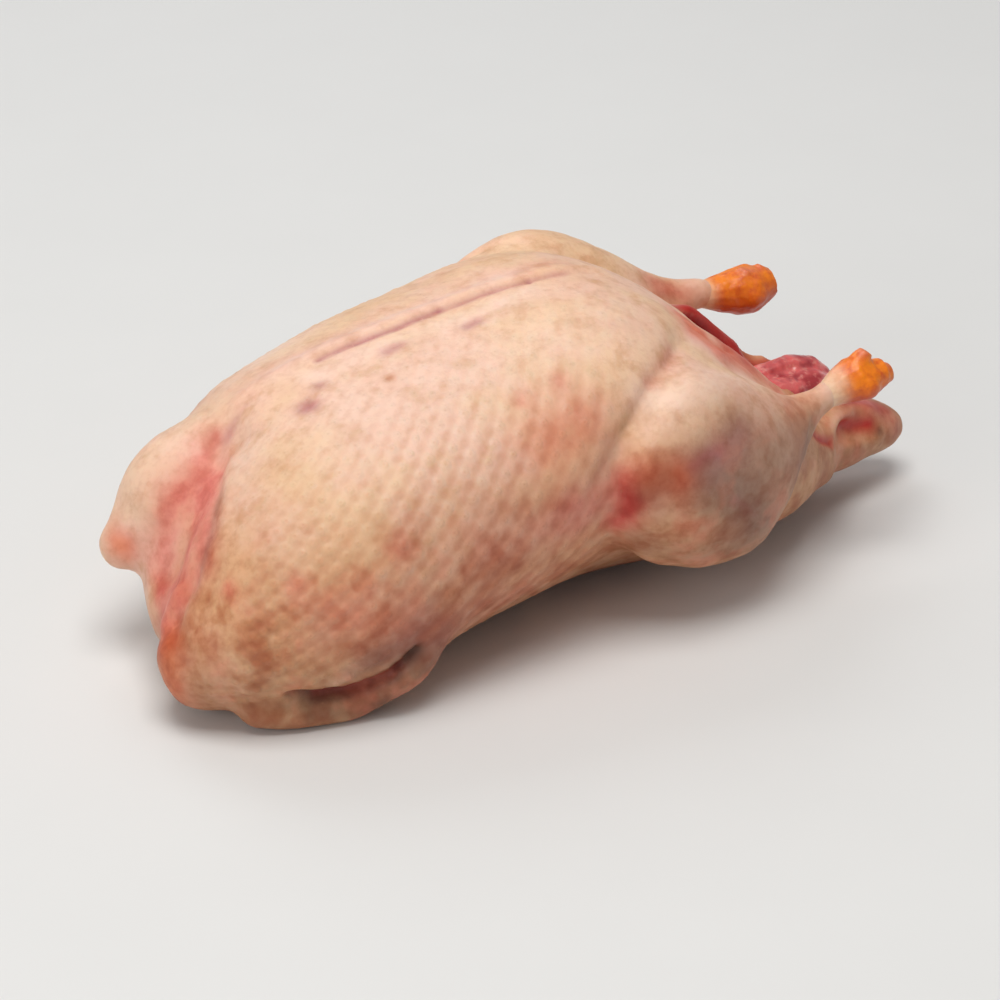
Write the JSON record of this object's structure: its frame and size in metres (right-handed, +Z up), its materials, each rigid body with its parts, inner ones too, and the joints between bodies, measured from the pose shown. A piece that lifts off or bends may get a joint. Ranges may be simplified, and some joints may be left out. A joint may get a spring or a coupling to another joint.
{
  "type": "whole raw duck",
  "caption": "Whole raw plucked duck lying on its back, breast up, with folded wing stubs, bare hocks, blunt tail and an open vent.",
  "frame": {"origin": "middle of the bird's footprint, on the surface that it lies on", "axes": "+X from the neck end to the tail, +Y to the bird's left side, +Z up with the breast on top"},
  "size_m": [0.3502, 0.1718, 0.1255],
  "materials": {
    "raw_skin": "moist raw poultry skin, softly glossy"
  },
  "bodies": {
    "root": {"duck": "raw_skin"}
  },
  "joints": []
}
